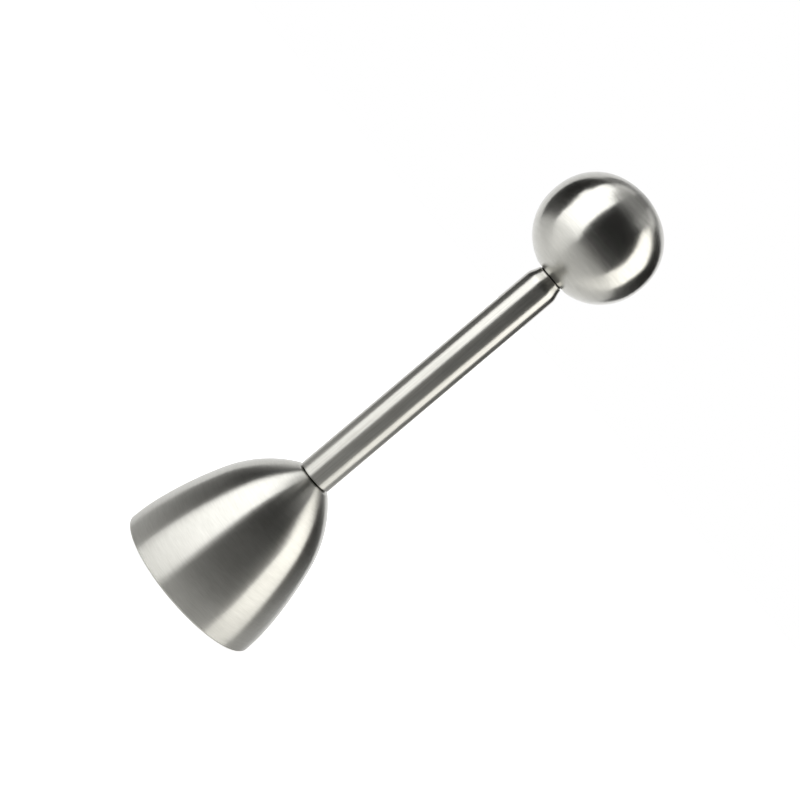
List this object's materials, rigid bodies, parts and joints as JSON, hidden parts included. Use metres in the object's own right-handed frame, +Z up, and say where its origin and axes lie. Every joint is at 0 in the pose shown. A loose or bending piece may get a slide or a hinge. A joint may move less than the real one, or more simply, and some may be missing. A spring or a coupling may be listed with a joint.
{
  "type": "egg topper",
  "caption": "Spring-loaded egg topper: a bell cup on a slim tube, and a ball knob that is pulled up and let go to crack a ring in the shell.",
  "frame": {"origin": "centre of the cup's rim, in the plane that the topper stands on", "axes": "+Z up the axis of the tube, from the cup to the ball; X and Y are free, because the outside is round"},
  "size_m": [0.038, 0.038, 0.1295],
  "materials": {
    "cup_satin": "satin, brushed round the cup",
    "ball_satin": "satin, brushed round the equator",
    "collar_polish": "bright turned",
    "tube_polish": "polished, with a faint lengthwise grain",
    "rod_polish": "bright ground bar",
    "turned_steel": "as turned",
    "fastener_steel": "plain stainless",
    "spring_wire": "drawn spring wire"
  },
  "bodies": {
    "body": {"bell_cup": "cup_satin", "guide_tube": "tube_polish", "end_plug": "turned_steel", "cup_washer": "fastener_steel", "cup_lock_washer": "fastener_steel", "cup_screw": "fastener_steel", "spring_seat_upper": "fastener_steel", "drive_spring": "spring_wire"},
    "spring_follower": {"spring_seat_lower": "fastener_steel"},
    "plunger": {"pull_rod": "rod_polish", "guide_slug": "turned_steel", "slug_nut": "fastener_steel", "ball_insert": "collar_polish", "ball_lower_shell": "ball_satin", "ball_upper_shell": "ball_satin"}
  },
  "joints": [
    {"name": "ball_pull", "type": "slide", "parent": "body", "child": "spring_follower", "axis": [0, 0, 1], "range_m": [0, 0.014], "stiffness_N_per_m": 1481, "springref_m": -0.004, "deforming": ["drive_spring"]},
    {"name": "ball_spin", "type": "hinge", "parent": "spring_follower", "child": "plunger", "pos_m": [0, 0, 0.11599], "axis": [0, 0, 1], "continuous": true}
  ]
}
